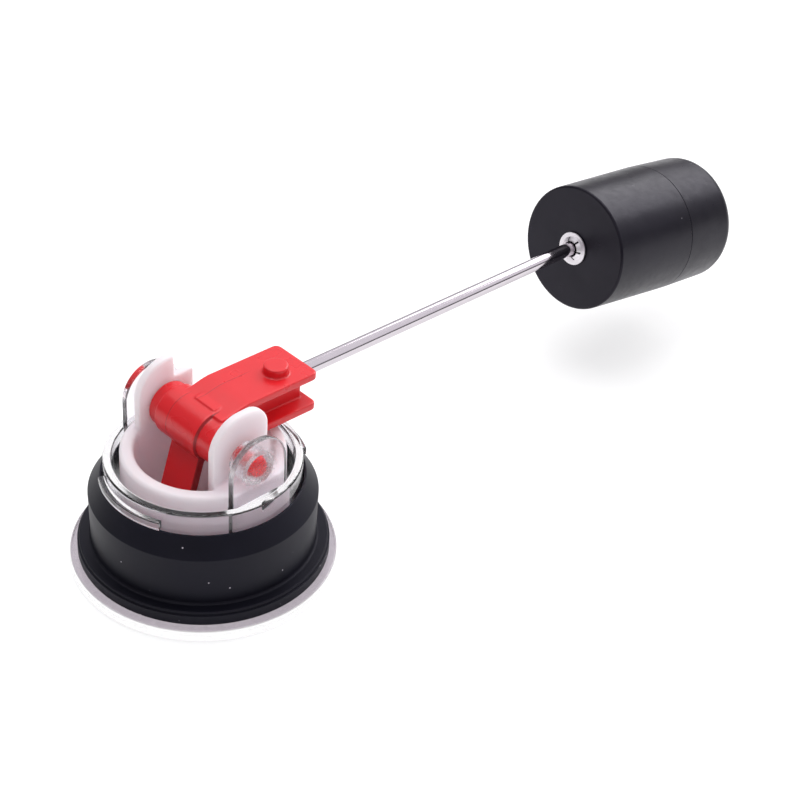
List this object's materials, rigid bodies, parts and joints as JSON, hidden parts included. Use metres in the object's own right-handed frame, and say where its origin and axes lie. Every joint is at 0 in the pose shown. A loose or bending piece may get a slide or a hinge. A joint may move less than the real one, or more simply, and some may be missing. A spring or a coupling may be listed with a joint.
{
  "type": "float level gauge",
  "caption": "Push-in tank level gauge: clear lens housing in a rubber grommet, with a white cup, a red pivoting lever, and a float on a steel rod.",
  "frame": {"origin": "centre of the lens's flat outer face", "axes": "+Z along the housing's axis into the tank, +X the way the float arm points, Y along the lever's pivot with the round ear at -Y"},
  "size_m": [0.2348, 0.0724, 0.0595],
  "materials": {
    "clear_plastic": "clear, glossy moulding",
    "black_rubber": "moulded rubber, soft sheen",
    "milky_plastic": "milky white, slightly translucent, satin",
    "dial_white": null,
    "red_plastic": "semi-gloss moulding",
    "polished_steel": "polished",
    "black_plastic": "satin moulding"
  },
  "bodies": {
    "housing": {"lens_housing": "clear_plastic", "rubber_grommet": "black_rubber", "inner_cup": "milky_plastic", "dial_plate": "dial_white"},
    "lever": {"pointer_lever": "red_plastic", "float_rod": "polished_steel", "inner_retainer": "polished_steel", "outer_retainer": "polished_steel"},
    "float": {"float_body": "black_plastic", "float_cap": "black_plastic"}
  },
  "joints": [
    {"name": "arm_pivot", "type": "hinge", "parent": "housing", "child": "lever", "pos_m": [0, 0, 0.0426], "axis": [0, -1, 0], "range_deg": [0, 46]},
    {"name": "float_spin", "type": "hinge", "parent": "lever", "child": "float", "pos_m": [0.14252, 0, 0.04106], "axis": [0.9855, 0, -0.1695], "continuous": true}
  ]
}
